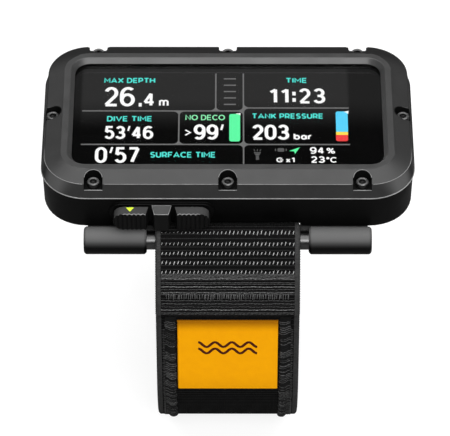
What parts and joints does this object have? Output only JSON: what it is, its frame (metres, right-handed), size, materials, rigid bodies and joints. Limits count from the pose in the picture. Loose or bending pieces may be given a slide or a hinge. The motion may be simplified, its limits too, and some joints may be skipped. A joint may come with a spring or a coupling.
{
  "type": "wrist dive computer",
  "caption": "Wrist-worn dive computer: landscape screen in a screwed case with side buttons, strap bars and a webbing strap.",
  "frame": {"origin": "centre of the back cover's flat outer face, which lies against the forearm", "axes": "+X to the wearer's right along the long side of the screen, +Y away from the wearer, +Z out of the screen"},
  "size_m": [0.105, 0.0945, 0.1068],
  "materials": {
    "bezel_metal": "satin, bead-blasted dark grey",
    "housing_polymer": "fine moulded texture, black",
    "lens_glass": "polished",
    "display": "lit panel behind glass",
    "seal_rubber": "matte",
    "black_screw": "black oxide, slightly glossy",
    "lug_metal": "satin dark grey",
    "bar_steel": "turned",
    "spring_steel": "drawn",
    "webbing": "woven elastic, black",
    "label": "fine weave, orange yellow",
    "button_metal": "satin dark grey",
    "circuit_board": "solder mask",
    "cell_foil": "foil",
    "gold_contact": "plated"
  },
  "bodies": {
    "case": {"back_cover": "housing_polymer", "back_gasket": "seal_rubber", "battery": "cell_foil", "bezel": "bezel_metal", "bezel_screw_1": "black_screw", "bezel_screw_2": "black_screw", "bezel_screw_3": "black_screw", "bezel_screw_4": "black_screw", "bezel_screw_5": "black_screw", "bezel_screw_6": "black_screw", "bezel_screw_7": "black_screw", "bezel_screw_8": "black_screw", "button_board": "circuit_board", "button_ring_centre": "seal_rubber", "button_ring_left": "seal_rubber", "button_ring_right": "seal_rubber", "button_spring_centre": "spring_steel", "button_spring_left": "spring_steel", "button_spring_right": "spring_steel", "charge_contact_1": "gold_contact", "charge_contact_2": "gold_contact", "cover_screw_1": "black_screw", "cover_screw_2": "black_screw", "cover_screw_3": "black_screw", "cover_screw_4": "black_screw", "display_carrier": "housing_polymer", "display_panel": "display", "hook_patch": "webbing", "housing": "housing_polymer", "lens": "lens_glass", "lens_gasket": "seal_rubber", "lug_front_left": "lug_metal", "lug_front_right": "lug_metal", "lug_rear_left": "lug_metal", "lug_rear_right": "lug_metal", "lug_screw_1": "black_screw", "lug_screw_2": "black_screw", "lug_screw_3": "black_screw", "lug_screw_4": "black_screw", "main_board": "circuit_board", "pressure_sensor": "bar_steel", "pull_tab": "seal_rubber", "sensor_cover": "lug_metal", "strap": "webbing", "strap_bar_front": "bar_steel", "strap_bar_rear": "bar_steel", "strap_label": "label", "strap_rib_left": "webbing", "strap_rib_right": "webbing", "switch_centre": "spring_steel", "switch_left": "spring_steel", "switch_right": "spring_steel", "vibration_motor": "spring_steel"},
    "left_button": {"button_left": "button_metal", "button_clip_left": "spring_steel"},
    "centre_button": {"button_centre": "button_metal", "button_clip_centre": "spring_steel"},
    "right_button": {"button_right": "button_metal", "button_clip_right": "spring_steel"}
  },
  "joints": [
    {"name": "left_press", "type": "slide", "parent": "case", "child": "left_button", "axis": [0, 1, 0], "range_m": [0, 0.0005], "stiffness_N_per_m": 1500, "springref_m": -0.001, "deforming": ["button_spring_left"]},
    {"name": "centre_press", "type": "slide", "parent": "case", "child": "centre_button", "axis": [0, 1, 0], "range_m": [0, 0.0005], "stiffness_N_per_m": 1500, "springref_m": -0.001, "deforming": ["button_spring_centre"]},
    {"name": "right_press", "type": "slide", "parent": "case", "child": "right_button", "axis": [0, 1, 0], "range_m": [0, 0.0005], "stiffness_N_per_m": 1500, "springref_m": -0.001, "deforming": ["button_spring_right"]}
  ]
}
